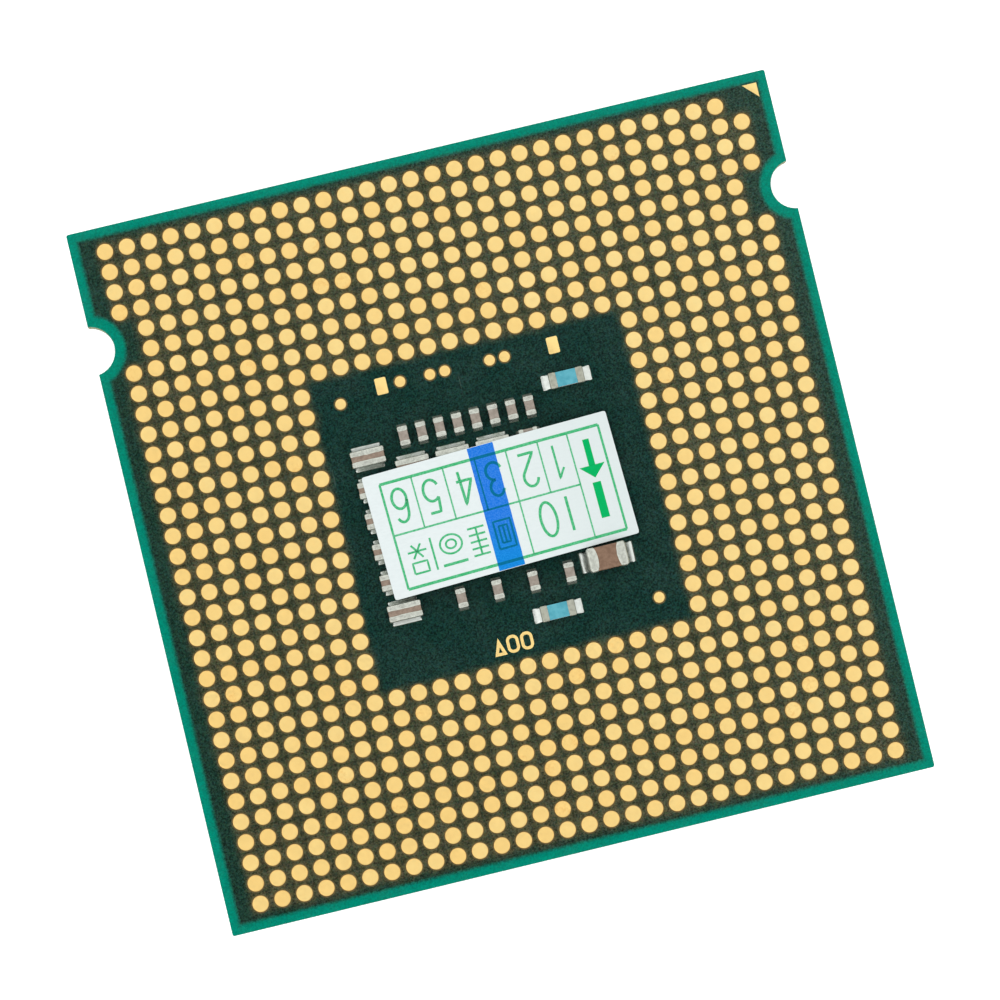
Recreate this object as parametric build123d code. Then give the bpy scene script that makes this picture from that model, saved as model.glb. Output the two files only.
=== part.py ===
from build123d import *
import os

# A land-grid-array processor lying on its heat spreader, contact lands upward.
# Millimetres. X and Y run along the package's edges and Z points up. The origin is the
# centre of the heat spreader's flat outer face, which is the lowest face of the part.

# ---- package substrate ----
package_side = 37.5
package_thickness = 1.17
package_corner_radius = 0.12
notch_radius = 1.29
notch_centre_beyond_edge = 0.17
notch_y = 12.535

mask_thickness = 0.025
outer_ply_thickness = 0.030
inner_ply_thickness = 0.130
plane_thickness = 0.015
plane_edge_margin = 0.47
opening_clearance = 0.015

# ---- contact lands ----
land_columns = 30
land_rows = 33
land_pitch_x = 1.17
land_pitch_y = 1.09
land_diameter = 0.86
void_first_column = 8
void_last_column = 21
void_first_row = 9
void_last_row = 23
last_column = land_columns - 1
last_row = land_rows - 1
left_out_by_notches = [(0, 27), (0, 28), (last_column, 27), (last_column, 28)]
left_out_at_corner = [(last_column, last_row)]

# ---- bare gold features on the land side ----
test_pad_row_y = 7.26
round_pad_diameter = 0.58
round_pad_x = [-3.6, -2.0, -1.2, 1.2, 2.0]
fiducial_x = 6.885
fiducial_y = 6.83
rectangular_pad_x = 4.6
rectangular_pad_width = 0.60
rectangular_pad_height = 0.88
rectangular_pad_radius = 0.08
pin_one_corner = 18.18
pin_one_leg = 0.77
symbol_width = 0.66
symbol_height = 0.94
symbol_stroke = 0.16
symbol_corner_radius = 0.30
symbol_y = -7.40
symbol_x = [-1.80, -1.08, -0.33]

# ---- heat spreader ----
plateau_side = 28.7
plateau_corner_radius = 1.8
plateau_edge_chamfer = 0.20
flange_side = 34.0
flange_corner_radius = 1.3
flange_edge_fillet = 0.15
flange_thickness = 1.10
step_fillet = 0.30
lid_height = 2.85
cavity_side = 26.2
cavity_corner_radius = 2.0
cavity_depth = 0.90
vent_diameter = 0.90
vent_x = 11.2
vent_y = -11.2

# ---- lid sealant ----
sealant_thickness = 0.12
sealant_outer_side = 33.2
sealant_inner_side = 28.6
sealant_corner_radius = 1.2
sealant_gap_width = 3.0

# ---- silicon die ----
die_length = 13.0
die_width = 8.2
die_thickness = 0.78
bump_height = 0.07
bump_diameter = 0.22
bump_pitch = 0.60
bump_edge_margin = 0.45
underfill_skirt = 0.65
underfill_climb = 0.40
underfill_crest_margin = 0.05
interface_margin = 0.15

# ---- chip parts on the land side ----
plating = 0.025
pad_overrun = 0.015
fillet_climb_share = 0.7

small_cap_length = 1.05
small_cap_width = 0.54
small_cap_height = 0.50
small_cap_band = 0.27
small_cap_solder_reach = 0.09
small_cap_solder_inset = 0.03
small_cap_pitch = 0.963
small_cap_first_x = 2.66
north_cap_count = 8
north_cap_y = 4.45
south_cap_count = 4
south_cap_y = -4.48

wide_cap_length = 0.88
wide_cap_width = 1.78
wide_cap_height = 0.55
wide_cap_band = 0.30
wide_cap_solder_reach = 0.20
wide_cap_solder_inset = 0.14
west_cap_count = 6
west_cap_x = -6.15
west_cap_top_y = 3.79
west_cap_pitch = 1.648
centre_cap_count = 3
centre_cap_first_x = -3.96
centre_cap_pitch = 2.15
centre_cap_y = 2.83
hidden_row_count = 3

cross_cap_x = 2.27
cross_cap_y = 3.05

bulk_cap_x = 4.74
bulk_cap_y = -4.17
bulk_cap_length = 2.20
bulk_cap_width = 1.27
bulk_cap_height = 0.85
bulk_cap_band = 0.50
bulk_cap_solder_reach = 0.32
bulk_cap_solder_inset = 0.10

resistor_length = 1.85
resistor_width = 0.83
resistor_height = 0.42
resistor_band = 0.395
resistor_solder_reach = 0.375
resistor_solder_inset = 0.04
resistor_glaze_length = 1.05
resistor_glaze_thickness = 0.03
upper_resistor_x = 4.87
upper_resistor_y = 5.42
lower_resistor_x = 1.60
lower_resistor_y = -6.29

# ---- label ----
label_length = 13.15
label_width = 6.62
label_thickness = 0.10
label_corner_radius = 0.15
label_x = -0.02
label_y = -0.26
label_turn = 1.9

# ---- heights worked out from the above ----
half_package = package_side / 2
package_underside = lid_height + sealant_thickness
land_plane = package_underside + package_thickness
land_mask_base = land_plane - mask_thickness
land_outer_ply_base = land_mask_base - outer_ply_thickness
land_inner_ply_base = land_outer_ply_base - inner_ply_thickness
die_mask_top = package_underside + mask_thickness
die_outer_ply_top = die_mask_top + outer_ply_thickness
die_inner_ply_top = die_outer_ply_top + inner_ply_thickness
die_top = package_underside - bump_height
die_base = die_top - die_thickness
cavity_floor = lid_height - cavity_depth
flange_outer_face = lid_height - flange_thickness
label_base = land_plane + wide_cap_height


# ---- small helpers ----
def slab(length, width, low, high, x=0.0, y=0.0):
    """A plain block between two heights, centred on x and y."""
    block = Box(length, width, high - low)
    return block.moved(Location((x, y, (low + high) / 2)))


def rounded_plate(side, radius, low, high):
    """A square plate with rounded corners."""
    return extrude(Plane.XY.offset(low) * RectangleRounded(side, side, radius), amount=high - low)


def disc(x, y, diameter, low, high):
    """A short upright cylinder."""
    return Solid.make_cylinder(diameter / 2, high - low, Plane((x, y, low)))


def round_opening(x, y, diameter):
    """The rim of a round opening."""
    return Wire.make_circle(diameter / 2, Plane((x, y, 0)))


def outline_of(sketch):
    """The outer outline of a flat shape."""
    return sketch.faces()[0].outer_wire()


def pierced_plate(outline, openings, low, high):
    """A plate of any outline with openings right through it."""
    face = Face(outline, openings)
    return Solid.extrude(face, Vector(0, 0, high - low)).moved(Location((0, 0, low)))


def group(solids):
    """Separate solids that share one node."""
    return Compound(children=list(solids))


# ---- package outline ----
def package_sketch(inset=0.0):
    """The package's outline with its two key notches, drawn in from the edge by inset."""
    side = package_side - 2 * inset
    radius = max(package_corner_radius, inset)
    notch_x = half_package + notch_centre_beyond_edge
    notches = [
        Pos(sign * notch_x, notch_y) * Circle(notch_radius + inset)
        for sign in (-1, 1)
    ]
    return RectangleRounded(side, side, radius) - notches


# ---- contact lands ----
def land_position(column, row):
    """The centre of one land, from its column and row."""
    x = (column - last_column / 2) * land_pitch_x
    y = (row - last_row / 2) * land_pitch_y
    return x, y


def has_land(column, row):
    """Whether the grid holds a land here: not in the middle, by a notch or at the bare corner."""
    in_void_columns = void_first_column <= column <= void_last_column
    in_void_rows = void_first_row <= row <= void_last_row
    left_out = left_out_by_notches + left_out_at_corner
    return not (in_void_columns and in_void_rows) and (column, row) not in left_out


def bank_name(column, row):
    """The side of the middle field that a land belongs to."""
    if row > void_last_row:
        return "north"
    if row < void_first_row:
        return "south"
    return "west" if column < void_first_column else "east"


def land_banks():
    """The lands' centres, sorted into four banks around the middle field."""
    banks = {"north": [], "south": [], "west": [], "east": []}
    for row in range(land_rows):
        for column in range(land_columns):
            if has_land(column, row):
                banks[bank_name(column, row)].append(land_position(column, row))
    return banks


# ---- bare gold features ----
def round_pad_positions():
    """The round test pads, and a fiducial at two opposite corners of the middle field."""
    row = [(x, test_pad_row_y) for x in round_pad_x]
    return row + [(-fiducial_x, fiducial_y), (fiducial_x, -fiducial_y)]


def rectangular_pad_sketches(growth=0.0):
    """The two rectangular test pads."""
    width = rectangular_pad_width + 2 * growth
    height = rectangular_pad_height + 2 * growth
    pad = RectangleRounded(width, height, rectangular_pad_radius + growth)
    return [Pos(sign * rectangular_pad_x, test_pad_row_y) * pad for sign in (-1, 1)]


def pin_one_sketch(growth=0.0):
    """The right triangle that marks the first contact's corner."""
    near = pin_one_corner + growth
    far = pin_one_corner - pin_one_leg - growth * (1 + 2 ** 0.5)
    return Polygon((near, near), (far, near), (near, far), align=None)


def triangle_outline(inset=0.0):
    """A triangle on a level base, drawn in by inset on all three sides."""
    slant = ((symbol_width / 2) ** 2 + symbol_height ** 2) ** 0.5
    inner_radius = symbol_width * symbol_height / (symbol_width + 2 * slant)
    scale = 1 - inset / inner_radius
    centre = inner_radius - symbol_height / 2
    half_base = scale * symbol_width / 2
    base = centre - scale * inner_radius
    tip = centre + scale * (symbol_height - inner_radius)
    return Polygon((-half_base, base), (half_base, base), (0, tip), align=None)


def rounded_frame_outline(inset=0.0):
    """An upright rectangle with well rounded corners, drawn in by inset on all sides."""
    width = symbol_width - 2 * inset
    height = symbol_height - 2 * inset
    return RectangleRounded(width, height, symbol_corner_radius - inset)


def symbol_outlines(inset=0.0):
    """The outlines of three plain marks in a row: a triangle and two rounded frames."""
    shapes = [triangle_outline(inset), rounded_frame_outline(inset), rounded_frame_outline(inset)]
    return [Pos(x, symbol_y) * shape for x, shape in zip(symbol_x, shapes)]


def symbol_sketches():
    """The three marks as open strokes of gold."""
    outer = symbol_outlines()
    inner = symbol_outlines(symbol_stroke)
    return [edge - hollow for edge, hollow in zip(outer, inner)]


# ---- chip parts ----
class Chip:
    """One chip part: where it stands, its size, and how its two ends are soldered."""

    def __init__(self, x, y, along_y, length, width, height, band, reach, inset):
        turn = 90 if along_y else 0
        self.place = Location((x, y, land_plane), (0, 0, turn))
        self.footprint = Location((x, y, 0), (0, 0, turn))
        self.length = length
        self.width = width
        self.height = height
        self.band = band
        self.reach = reach
        self.inset = inset

    def body(self):
        """The ceramic block, thinner than its end caps by the plating."""
        block = Box(
            self.length - 2 * plating,
            self.width - 2 * plating,
            self.height - 2 * plating,
        )
        return block.moved(Location((0, 0, self.height / 2))).moved(self.place)

    def terminals(self):
        """The two metal end caps, each wrapped around the ceramic block's end."""
        ends = []
        for side in (-1, 1):
            x = side * (self.length - self.band) / 2
            cap = Box(self.band, self.width, self.height)
            cap = cap.moved(Location((x, 0, self.height / 2))).moved(self.place)
            ends.append((cap - self.body()).solids()[0])
        return ends

    def fillets(self):
        """The solder that climbs each end from the board."""
        climb = fillet_climb_share * self.height
        width = self.width - 2 * self.inset
        section = make_face(Polyline((0, 0), (self.reach, 0), (0, climb), close=True))
        prism = extrude(Plane.XZ * section, amount=width).moved(Location((0, width / 2, 0)))
        right = prism.moved(Location((self.length / 2, 0, 0)))
        left = right.moved(Location((0, 0, 0), (0, 0, 180)))
        return [piece.moved(self.place).solids()[0] for piece in (right, left)]

    def pads(self, growth=0.0):
        """The copper pads that the ends stand on, as flat shapes."""
        length = self.band + self.reach + pad_overrun + 2 * growth
        width = self.width - 2 * self.inset + 2 * growth
        x = self.length / 2 - self.band + (self.band + self.reach + pad_overrun) / 2
        pad = Rectangle(length, width)
        return [(Pos(side * x, 0) * pad).moved(self.footprint) for side in (-1, 1)]


def small_cap(x, y, along_y=True):
    """A small capacitor, longer than it is wide."""
    return Chip(
        x, y, along_y, small_cap_length, small_cap_width, small_cap_height, small_cap_band,
        small_cap_solder_reach, small_cap_solder_inset,
    )


def wide_cap(x, y):
    """A reverse-geometry capacitor, with its end caps along its two long sides."""
    return Chip(
        x, y, True, wide_cap_length, wide_cap_width, wide_cap_height, wide_cap_band,
        wide_cap_solder_reach, wide_cap_solder_inset,
    )


def north_caps():
    xs = [small_cap_first_x - small_cap_pitch * k for k in range(north_cap_count)]
    return [small_cap(x, north_cap_y) for x in xs]


def south_caps():
    xs = [small_cap_first_x - 2 * small_cap_pitch * k for k in range(south_cap_count)]
    return [small_cap(x, south_cap_y) for x in xs]


def west_caps():
    ys = [west_cap_top_y - west_cap_pitch * k for k in range(west_cap_count)]
    return [wide_cap(west_cap_x, y) for y in ys]


def centre_columns():
    return [centre_cap_first_x + centre_cap_pitch * k for k in range(centre_cap_count)]


def centre_caps():
    return [wide_cap(x, centre_cap_y) for x in centre_columns()]


def hidden_caps():
    """Three more rows in line with the centre row, all under the label, which rests on them."""
    rows = [centre_cap_y - west_cap_pitch * (k + 1) for k in range(hidden_row_count)]
    return [wide_cap(x, y) for y in rows for x in centre_columns()]


def cross_cap():
    """The one small capacitor that lies across the others."""
    return small_cap(cross_cap_x, cross_cap_y, along_y=False)


def bulk_cap():
    """The one large capacitor."""
    return Chip(
        bulk_cap_x, bulk_cap_y, False, bulk_cap_length, bulk_cap_width, bulk_cap_height,
        bulk_cap_band, bulk_cap_solder_reach, bulk_cap_solder_inset,
    )


def resistor(x, y):
    """A chip resistor lying along X."""
    return Chip(
        x, y, False, resistor_length, resistor_width, resistor_height, resistor_band,
        resistor_solder_reach, resistor_solder_inset,
    )


def resistor_glaze(chip):
    """The glaze over the resistor's film, between the two end caps."""
    width = resistor_width - 2 * plating
    low = resistor_height - plating
    block = Box(resistor_glaze_length, width, resistor_glaze_thickness)
    return block.moved(Location((0, 0, low + resistor_glaze_thickness / 2))).moved(chip.place)


# ---- substrate layers ----
def full_plate(low, high):
    """A layer with the package's whole outline."""
    return pierced_plate(outline_of(package_sketch()), [], low, high)


def copper_plane(low, high):
    """A copper plane, which stops short of the package's edge and its notches."""
    return pierced_plate(outline_of(package_sketch(plane_edge_margin)), [], low, high)


def land_side_openings(banks, chips):
    """Every opening in the land side's solder mask."""
    land_opening = land_diameter + 2 * opening_clearance
    pad_opening = round_pad_diameter + 2 * opening_clearance
    openings = [round_opening(x, y, land_opening) for bank in banks.values() for x, y in bank]
    openings += [round_opening(x, y, pad_opening) for x, y in round_pad_positions()]
    shapes = rectangular_pad_sketches(opening_clearance)
    shapes += symbol_outlines(-opening_clearance)
    shapes.append(pin_one_sketch(opening_clearance))
    for chip in chips:
        shapes += chip.pads(opening_clearance)
    return openings + [outline_of(shape) for shape in shapes]


def mask_islands():
    """The bits of solder mask that stand inside the marks."""
    hollows = symbol_outlines(symbol_stroke + opening_clearance)
    base = Plane.XY.offset(land_mask_base)
    return [extrude(base * hollow, amount=mask_thickness).solids()[0] for hollow in hollows]


def land_side_mask(banks, chips):
    """The solder mask around the lands, and the islands inside the marks."""
    outline = outline_of(package_sketch())
    openings = land_side_openings(banks, chips)
    plate = pierced_plate(outline, openings, land_mask_base, land_plane)
    return group([plate] + mask_islands())


def bump_positions():
    """The solder bumps' grid under the die."""
    columns = int((die_length - 2 * bump_edge_margin) / bump_pitch) + 1
    rows = int((die_width - 2 * bump_edge_margin) / bump_pitch) + 1
    return [
        ((i - (columns - 1) / 2) * bump_pitch, (j - (rows - 1) / 2) * bump_pitch)
        for i in range(columns)
        for j in range(rows)
    ]


def bump_openings(clearance):
    """The round openings that the bumps stand in."""
    diameter = bump_diameter + 2 * clearance
    return [round_opening(x, y, diameter) for x, y in bump_positions()]


def die_side_mask():
    """The solder mask on the side that carries the die."""
    openings = bump_openings(opening_clearance) + [outline_of(pin_one_sketch(opening_clearance))]
    outline = outline_of(package_sketch())
    return pierced_plate(outline, openings, package_underside, die_mask_top)


def flat_marks(sketches, low, high):
    """Flat gold shapes as separate solids."""
    return group(extrude(Plane.XY.offset(low) * shape, amount=high - low) for shape in sketches)


# ---- inside the lid ----
def underfill():
    """The resin between the die and the package, with a sloping skirt around the die."""
    foot_length = die_length + 2 * underfill_skirt
    foot_width = die_width + 2 * underfill_skirt
    foot = outline_of(Rectangle(foot_length, foot_width))
    sheet = pierced_plate(foot, bump_openings(0.0), die_top, package_underside)
    base = Plane.XY.offset(die_top) * Rectangle(foot_length, foot_width)
    crest_length = die_length + 2 * underfill_crest_margin
    crest_width = die_width + 2 * underfill_crest_margin
    crest = Plane.XY.offset(die_top - underfill_climb) * Rectangle(crest_length, crest_width)
    skirt = loft([base, crest]) - slab(die_length, die_width, die_base, die_top)
    return sheet.fuse(skirt.solids()[0])


def heat_spreader():
    """The stepped metal lid, with its cavity, its vent and its eased edges."""
    plateau = rounded_plate(plateau_side, plateau_corner_radius, 0, lid_height)
    plateau = chamfer(plateau.faces().sort_by(Axis.Z)[0].edges(), plateau_edge_chamfer)
    flange = rounded_plate(flange_side, flange_corner_radius, flange_outer_face, lid_height)
    flange = fillet(flange.faces().sort_by(Axis.Z)[0].edges(), flange_edge_fillet)
    lid = plateau + flange
    at_step = [
        edge
        for edge in lid.edges().filter_by_position(Axis.Z, flange_outer_face, flange_outer_face)
        if max(abs(edge.center().X), abs(edge.center().Y)) < plateau_side / 2 + step_fillet / 2
    ]
    lid = fillet(at_step, step_fillet)
    lid -= rounded_plate(cavity_side, cavity_corner_radius, cavity_floor, lid_height)
    lid -= disc(vent_x, vent_y, vent_diameter, 0, cavity_floor)
    return lid


def lid_sealant():
    """The adhesive ring between lid and package, with one gap that lets the cavity breathe."""
    low = lid_height
    high = package_underside
    ring = rounded_plate(sealant_outer_side, sealant_corner_radius, low, high)
    ring -= rounded_plate(sealant_inner_side, sealant_corner_radius, low, high)
    ring -= slab(sealant_gap_width, sealant_outer_side / 2, low, high, y=-sealant_outer_side / 2)
    return ring


def warranty_label():
    """The thin film label that rests on the chip parts' tops."""
    shape = RectangleRounded(label_length, label_width, label_corner_radius)
    film = extrude(shape, amount=label_thickness)
    return film.moved(Location((label_x, label_y, label_base), (0, 0, label_turn)))


# ---- the whole set of nodes ----
def substrate_nodes(banks, chips):
    land_plane_copper = copper_plane(land_outer_ply_base - plane_thickness, land_outer_ply_base)
    die_plane_copper = copper_plane(die_outer_ply_top, die_outer_ply_top + plane_thickness)
    return {
        "core_laminate": full_plate(die_inner_ply_top, land_inner_ply_base),
        "inner_ply_land_side": full_plate(land_inner_ply_base, land_outer_ply_base) - land_plane_copper,
        "outer_ply_land_side": full_plate(land_outer_ply_base, land_mask_base),
        "inner_ply_die_side": full_plate(die_outer_ply_top, die_inner_ply_top) - die_plane_copper,
        "outer_ply_die_side": full_plate(die_mask_top, die_outer_ply_top),
        "copper_plane_land_side": land_plane_copper,
        "copper_plane_die_side": die_plane_copper,
        "solder_mask_land_side": land_side_mask(banks, chips),
        "solder_mask_die_side": die_side_mask(),
    }


def gold_nodes(banks, chips):
    low = land_mask_base
    high = land_plane
    nodes = {
        "contact_lands_" + name: group(disc(x, y, land_diameter, low, high) for x, y in bank)
        for name, bank in banks.items()
    }
    pads = [disc(x, y, round_pad_diameter, low, high) for x, y in round_pad_positions()]
    nodes["test_pads_round"] = group(pads)
    nodes["test_pads_rectangular"] = flat_marks(rectangular_pad_sketches(), low, high)
    nodes["pin_one_mark_land_side"] = flat_marks([pin_one_sketch()], low, high)
    nodes["pin_one_mark_die_side"] = flat_marks([pin_one_sketch()], package_underside, die_mask_top)
    nodes["etched_symbols"] = flat_marks(symbol_sketches(), low, high)
    chip_pads = [pad for chip in chips for pad in chip.pads()]
    nodes["component_pads"] = flat_marks(chip_pads, low, high)
    return nodes


def lid_nodes():
    bumps = [
        disc(x, y, bump_diameter, die_top, die_mask_top)
        for x, y in bump_positions()
    ]
    interface_length = die_length - 2 * interface_margin
    interface_width = die_width - 2 * interface_margin
    return {
        "silicon_die": slab(die_length, die_width, die_base, die_top),
        "solder_bumps": group(bumps),
        "underfill": underfill(),
        "thermal_interface": slab(interface_length, interface_width, cavity_floor, die_base),
        "heat_spreader": heat_spreader(),
        "lid_sealant": lid_sealant(),
    }


def chip_nodes(north, south, west, centre, hidden, cross, bulk, resistors):
    nodes = {}
    for name, row in (("north", north), ("south", south), ("west", west), ("centre", centre)):
        for number, chip in enumerate(row, start=1):
            nodes[f"cap_{name}_{number}"] = chip.body()
    nodes["caps_under_label"] = group(chip.body() for chip in hidden)
    nodes["cap_cross"] = cross.body()
    nodes["cap_bulk"] = bulk.body()
    nodes["resistor_upper"] = resistors[0].body()
    nodes["resistor_lower"] = resistors[1].body()
    nodes["resistor_glaze"] = group(resistor_glaze(chip) for chip in resistors)
    terminal_groups = {
        "cap_terminals_north": north,
        "cap_terminals_south": south,
        "cap_terminals_west": west,
        "cap_terminals_centre": centre + hidden + [cross],
        "cap_terminals_bulk": [bulk],
        "resistor_terminals": resistors,
    }
    for name, row in terminal_groups.items():
        nodes[name] = group(end for chip in row for end in chip.terminals())
    every_chip = north + south + west + centre + hidden + [cross, bulk] + resistors
    nodes["solder_fillets"] = group(piece for chip in every_chip for piece in chip.fillets())
    nodes["warranty_label"] = warranty_label()
    return nodes, every_chip


def build_nodes():
    """Every node of the processor by name."""
    resistors = [
        resistor(upper_resistor_x, upper_resistor_y),
        resistor(lower_resistor_x, lower_resistor_y),
    ]
    chip_parts, chips = chip_nodes(
        north_caps(), south_caps(), west_caps(), centre_caps(), hidden_caps(),
        cross_cap(), bulk_cap(), resistors,
    )
    banks = land_banks()
    nodes = substrate_nodes(banks, chips)
    nodes.update(gold_nodes(banks, chips))
    nodes.update(lid_nodes())
    nodes.update(chip_parts)
    return nodes


os.makedirs("parts", exist_ok=True)
for node_name, shape in build_nodes().items():
    export_step(shape, os.path.join("parts", node_name + ".step"))
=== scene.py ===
import math
import random
from typing import NamedTuple

import bmesh
import bpy
from mathutils import Matrix, Vector, noise


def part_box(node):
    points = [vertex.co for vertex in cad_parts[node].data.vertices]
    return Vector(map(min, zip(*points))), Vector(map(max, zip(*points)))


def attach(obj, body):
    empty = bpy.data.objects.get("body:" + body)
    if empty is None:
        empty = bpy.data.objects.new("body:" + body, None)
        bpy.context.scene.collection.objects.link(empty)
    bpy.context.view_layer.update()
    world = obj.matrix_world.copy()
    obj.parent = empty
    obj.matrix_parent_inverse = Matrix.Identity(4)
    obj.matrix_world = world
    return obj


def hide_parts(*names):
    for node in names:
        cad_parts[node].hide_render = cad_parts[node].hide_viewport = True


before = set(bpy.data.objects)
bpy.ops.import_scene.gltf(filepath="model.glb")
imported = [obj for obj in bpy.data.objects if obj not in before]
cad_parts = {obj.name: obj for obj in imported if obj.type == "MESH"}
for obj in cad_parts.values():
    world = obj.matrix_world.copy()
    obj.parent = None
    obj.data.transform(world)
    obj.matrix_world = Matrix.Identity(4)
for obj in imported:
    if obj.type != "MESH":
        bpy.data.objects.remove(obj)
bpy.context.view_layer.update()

MM = 0.001
SEED = 7
WELD = 0.0005

# ---- package, in millimetres: the same driving sizes that the model has ----
HALF_SIDE = 18.75
LAND_PLANE = 4.14
NOTCH_X, NOTCH_Y, NOTCH_RADIUS = 18.92, 12.535, 1.29
RIM_WIDTH = 0.48
NOTCH_RIM_WIDTH = 0.56
LAND_PITCH_X, LAND_PITCH_Y = 1.17, 1.09
FIELD_HALF_X, FIELD_HALF_Y = 17.45, 17.95
BAY_HALF_X, BAY_HALF_Y = 8.36, 8.31
BARE_NOTCH_X, BARE_NOTCH_HALF = 16.35, 1.15
BARE_CORNER_X, BARE_CORNER_Y = 16.35, 16.90

# ---- round lands and lips: each ring's place, its height above the land, its share of the way out, which on a land sets its painted shade ----
ROUND_SEGMENTS = 40
LAND_RINGS = [  # place as a share of the land's radius
    (0.45, 0.0030, 0.0),
    (0.78, 0.0022, 0.0),
    (0.90, 0.0004, 0.25),
    (0.975, -0.006, 0.8),
    (1.0, -0.016, 1.0),
]
LIP_RINGS = [  # place in millimetres outside the land
    (0.004, -0.018, 0.0),
    (0.006, 0.001, 0.0),
    (0.016, 0.006, 0.15),
    (0.034, 0.005, 0.40),
    (0.060, 0.003, 0.75),
    (0.085, -0.002, 1.0),
]
STAINED_SHARE = 0.03
FAINT_STAIN = 0.22
PAD_EASE = 0.012

# ---- painted light: linear tones that drift from the corner with the least X and Y to the far corner, darker at the first and lighter at the far one ----
FIELD_PAINTED_LIGHT = (0.883, 0.883, 0.935, 1.0), (1.029, 1.067, 1.209, 1.0)
GOLD_PAINTED_LIGHT = (1.0, 0.957, 0.849, 1.0), (1.0, 0.990, 0.948, 1.0)


# ---- chip parts, in millimetres ----
class Kind(NamedTuple):
    """How one kind of chip part is capped and soldered."""

    band: float  # length of an end cap
    reach: float  # how far the solder runs out past the end
    inset: float  # how much narrower the solder is at each side
    climb: float  # how far up the solder is drawn, as a share of the height
    curve: float  # how far the inner edge of a cap bulges
    hollow: float  # how hollow the solder's slope is
    ease: float  # softening around the end


SMALL = Kind(0.27, 0.052, 0.03, 0.24, 0.015, 1.0, 0.06)
WIDE = Kind(0.30, 0.205, 0.14, 0.29, 0.010, 1.1, 0.06)
BULK = Kind(0.475, 0.300, 0.10, 0.27, 0.130, 2.0, 0.16)
RESISTOR = Kind(0.395, 0.39, 0.04, 0.30, 0.010, 1.7, 0.05)
PLATING = 0.025
BODY_EASE = 0.035
END_CAP_CORNER = 0.09
END_CAP_EDGE = 0.018
SOLDER_OVERLAP = 0.012
SOLDER_FOOT = 0.010

# ---- label, in millimetres ----
LABEL_LENGTH = 13.17
LABEL_WIDTH = 6.62
LABEL_THICKNESS = 0.10
LABEL_CORNER = 0.10
LABEL_TURN = math.radians(2.1)
LABEL_SETTLE = 0.014
LABEL_DROOP = 0.30
LABEL_DROOP_START = 1.8
LABEL_NUDGE = (-0.02, -0.008, 0.0)
INK_LIFT = 0.004
INK_DEPTH = 0.003
STRIPE_LIFT = 0.002
STROKE_SPACING = 0.12

# ---- the label's print, in the film's own axes, in millimetres ----
FRAME_LEFT, FRAME_RIGHT = -5.775, 6.01
FRAME_LOW, FRAME_HIGH = -2.94, 2.70
MIDDLE_LINE = -0.065
UPPER_DIVIDERS = [-4.10, -2.40, -0.68, 1.00, 2.70]
FULL_DIVIDER = 4.305
LOWER_DIVIDER = 1.00
BORDER_INK = 0.120
LONG_BORDER_INK = 0.155
MIDDLE_INK = 0.100
RULE_INK = 0.082
MARK_INK = 0.105
NUMERAL_INK = 0.145
THIN_NUMERAL_INK = 0.115
NUMERAL_WIDTH = 0.82
NUMERAL_HEIGHT = 1.77
NUMERAL_CENTRE_V = 1.385
NUMERAL_CENTRES = {6: -4.99, 5: -3.29, 4: -1.50, 3: 0.09, 2: 1.94, 1: 3.48}
MARKS_CENTRE_V = -1.48
ARROW_CENTRE, ARROW_HALF, ARROW_BASE, ARROW_TIP = 5.155, 0.68, 0.74, 0.08
BOLD_LINES = [  # the arrow's stem and a bar, each as (path, stroke width)
    ([(5.18, 2.14), (5.16, 0.60)], 0.34),
    ([(5.15, -0.16), (5.13, -2.06)], 0.44),
]
STRIPE_LEFT, STRIPE_RIGHT = -0.94, 0.445
STRIPE_SKEW = 0.010
STRIPE_MARGIN = 0.02
STRIPE_WANDER = 0.012

# ---- camera, in millimetres and degrees, and light ----
CAMERA_DISTANCE = 300.0
CAMERA_TILT = 3.4156
CAMERA_TILT_TOWARDS = 238.26
CAMERA_ROLL = 13.57
CAMERA_LENS = 207.45
SENSOR = 36.0
AIM_X, AIM_Y = 0.017, 0.034
SKY_LOW, SKY_HIGH = 0.48, 1.24
SKY_FULL_AT = 0.60
CEILING_AT = (-0.05, -0.03, 1.0)
CEILING_INNER, CEILING_OUTER = 5.0, 19.0
CEILING_SHADE = 0.05
FLOOR_HALF = 300.0
FLOOR_GLOW = 0.55

random.seed(SEED)
noise.seed_set(SEED)


# ==== Small helpers ====
def linear(red, green, blue):
    """A display colour, 0 to 255, as the linear colour that shaders take."""
    channels = []
    for value in (red, green, blue):
        share = value / 255
        channels.append(share / 12.92 if share <= 0.04045 else ((share + 0.055) / 1.055) ** 2.4)
    return (*channels, 1.0)


def dimmed(color, share):
    """A display colour as a darker linear one."""
    return (*(channel * share for channel in linear(*color)[:3]), 1.0)


def smooth_step(low, high, value):
    t = min(1.0, max(0.0, (value - low) / (high - low)))
    return t * t * (3 - 2 * t)


def placed(mesh, name):
    """An object of a mesh, in the scene."""
    thing = bpy.data.objects.new(name, mesh)
    bpy.context.scene.collection.objects.link(thing)
    return thing


def ride_with(name, mesh, material, replaced):
    """A finished mesh as a piece that rides on the one body, in place of any CAD nodes it stands for."""
    mesh.materials.clear()
    mesh.materials.append(material)
    piece = placed(mesh, name)
    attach(piece, "root")
    if replaced:
        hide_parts(*replaced)
    return piece


def add_piece(name, shape, material, replaced=(), sharp_angle=40, flat=False):
    """A piece from a shape, which is its points in millimetres and its faces."""
    verts, faces = shape
    mesh = bpy.data.meshes.new(name)
    mesh.from_pydata([(x * MM, y * MM, z * MM) for x, y, z in verts], [], faces)
    work = bmesh.new()
    work.from_mesh(mesh)
    bmesh.ops.recalc_face_normals(work, faces=work.faces)
    work.to_mesh(mesh)
    work.free()
    if not flat:
        mesh.polygons.foreach_set("use_smooth", [True] * len(mesh.polygons))
        mesh.set_sharp_from_angle(angle=math.radians(sharp_angle))
    return ride_with(name, mesh, material, replaced)


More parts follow.
